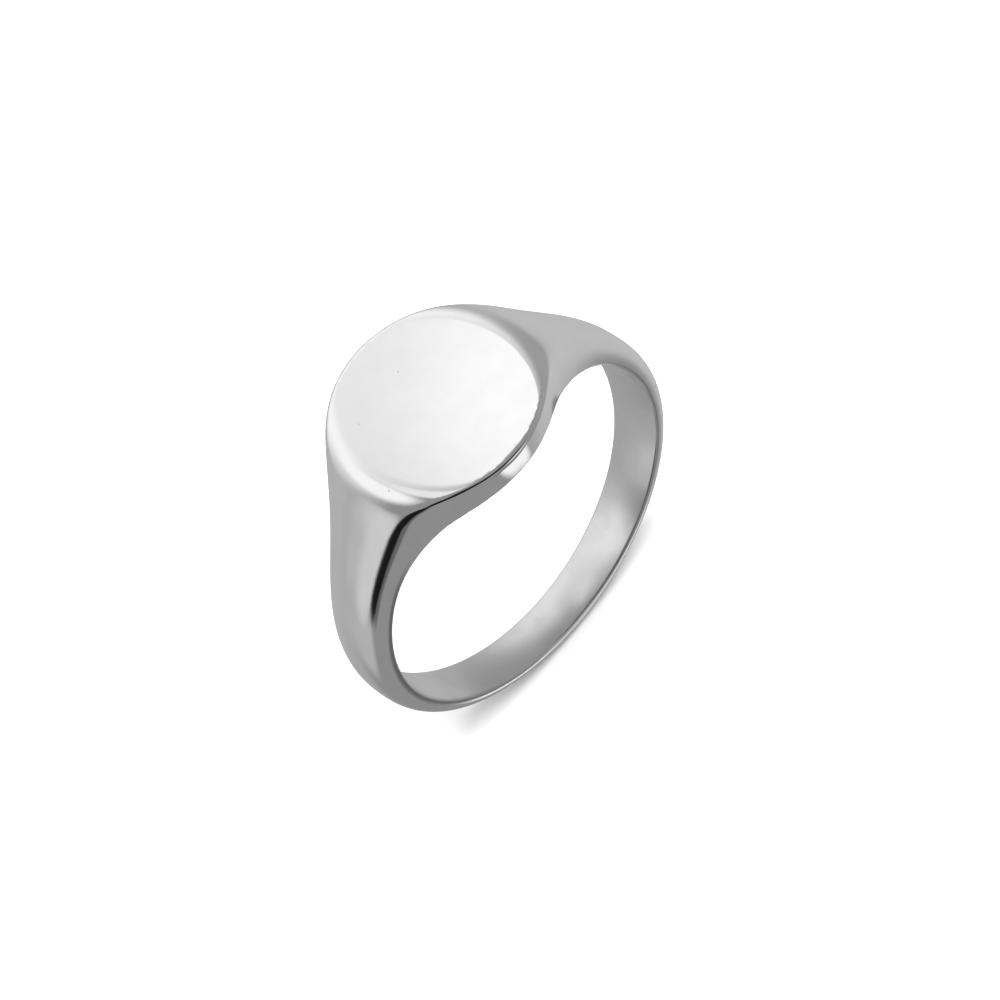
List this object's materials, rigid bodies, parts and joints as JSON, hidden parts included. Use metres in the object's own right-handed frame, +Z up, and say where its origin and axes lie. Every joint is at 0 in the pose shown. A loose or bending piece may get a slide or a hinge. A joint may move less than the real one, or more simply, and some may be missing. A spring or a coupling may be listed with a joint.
{
  "type": "signet ring",
  "caption": "Plain signet ring: a round flat table on a drafted head, flared shoulders and a tapering domed band, in polished silver.",
  "frame": {"origin": "lowest point of the shank, under the middle of the finger hole; the ring stands there with its table up", "axes": "+Z up, the way the table faces; Y along the finger hole; X from shoulder to shoulder, +X towards right_shoulder"},
  "size_m": [0.0206, 0.0108, 0.0212],
  "materials": {
    "table_silver": "mirror polished silver",
    "band_silver": "polished silver with a fine satin grain"
  },
  "bodies": {
    "root": {"face_plate": "table_silver", "head_block": "table_silver", "left_shoulder": "band_silver", "right_shoulder": "band_silver", "shank": "band_silver"}
  },
  "joints": []
}
